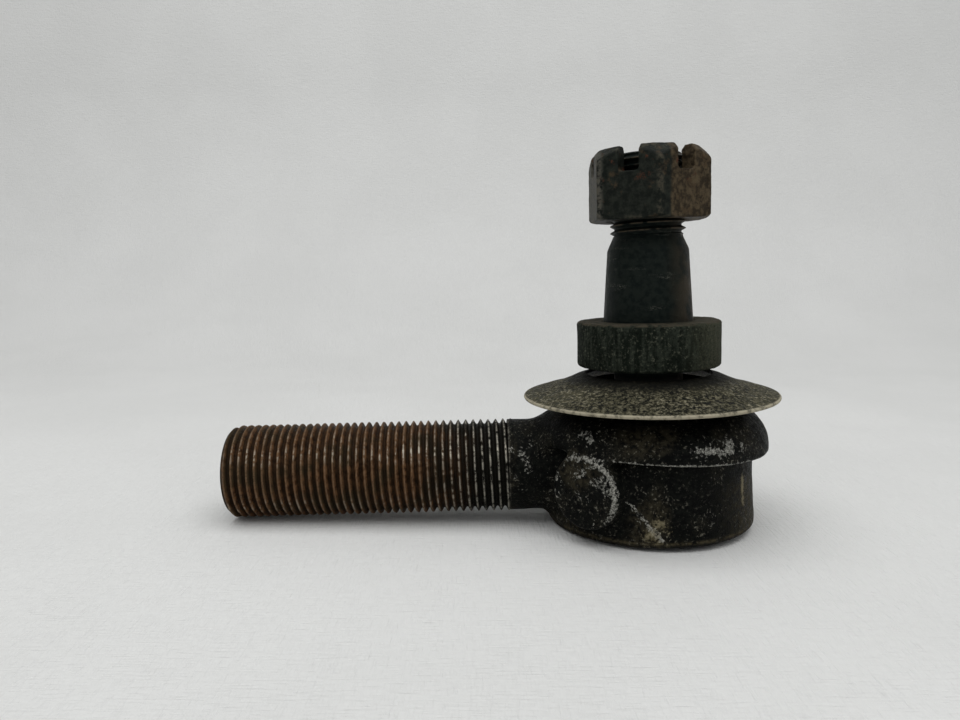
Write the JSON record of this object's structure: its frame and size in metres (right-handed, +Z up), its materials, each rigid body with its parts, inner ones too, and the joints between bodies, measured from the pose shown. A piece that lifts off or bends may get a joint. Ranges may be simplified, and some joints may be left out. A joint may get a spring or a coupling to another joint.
{
  "type": "tie rod end",
  "caption": "Steering tie rod end: forged socket on a threaded shank, sprung ball stud with taper and slotted nut, rubber ring and dished steel dust cover.",
  "frame": {"origin": "centre of the ball of the stud", "axes": "+Z up along the stud towards the nut, -X along the shank towards its threaded tip, +Y away from the side with the round forged pad"},
  "size_m": [0.1304, 0.0594, 0.0864],
  "materials": {
    "forged_steel": "worn black paint over a forging, rusted thread",
    "hardened_steel": "ground, greased",
    "plate_steel": "rolled sheet, dull",
    "spring_steel": "oil tempered wire",
    "cover_steel": "olive grey, dusty",
    "ring_rubber": "dusty",
    "stud_steel": "dark, oxidised",
    "nut_steel": "dull, lightly rusted"
  },
  "bodies": {
    "socket": {"housing": "forged_steel", "upper_ball_seat": "hardened_steel", "end_plate": "plate_steel"},
    "spring_pack": {"pressure_plate": "plate_steel", "spring": "spring_steel"},
    "seat": {"lower_ball_seat": "hardened_steel"},
    "cover": {"dust_cover": "cover_steel"},
    "ring": {"rubber_ring": "ring_rubber"},
    "stud": {"ball_stud": "stud_steel"},
    "nut": {"castle_nut": "nut_steel"}
  },
  "joints": [
    {"name": "stud_press", "type": "slide", "parent": "socket", "child": "spring_pack", "axis": [0, 0, 1], "range_m": [-0.0005, 0], "stiffness_N_per_m": 20000, "springref_m": 0.005, "deforming": ["spring"]},
    {"name": "seat_swivel", "type": "hinge", "parent": "spring_pack", "child": "seat", "pos_m": [0, 0, 0], "axis": [0, 0, 1], "continuous": true},
    {"name": "stud_tilt", "type": "hinge", "parent": "seat", "child": "ring", "pos_m": [0, 0, 0], "axis": [0, 1, 0], "range_deg": [-12, 12]},
    {"name": "cover_tilt", "type": "hinge", "parent": "seat", "child": "cover", "pos_m": [0, 0, 0], "axis": [0, 1, 0], "range_deg": [-7.2, 7.2]},
    {"name": "stud_spin", "type": "hinge", "parent": "ring", "child": "stud", "pos_m": [0, 0, 0], "axis": [0, 0, 1], "continuous": true},
    {"name": "nut_turn", "type": "hinge", "parent": "stud", "child": "nut", "pos_m": [0, 0, 0.0594], "axis": [0, 0, 1], "continuous": true}
  ],
  "couplings": [
    {"joint": "cover_tilt", "follows": "stud_tilt", "ratio": 0.6}
  ]
}
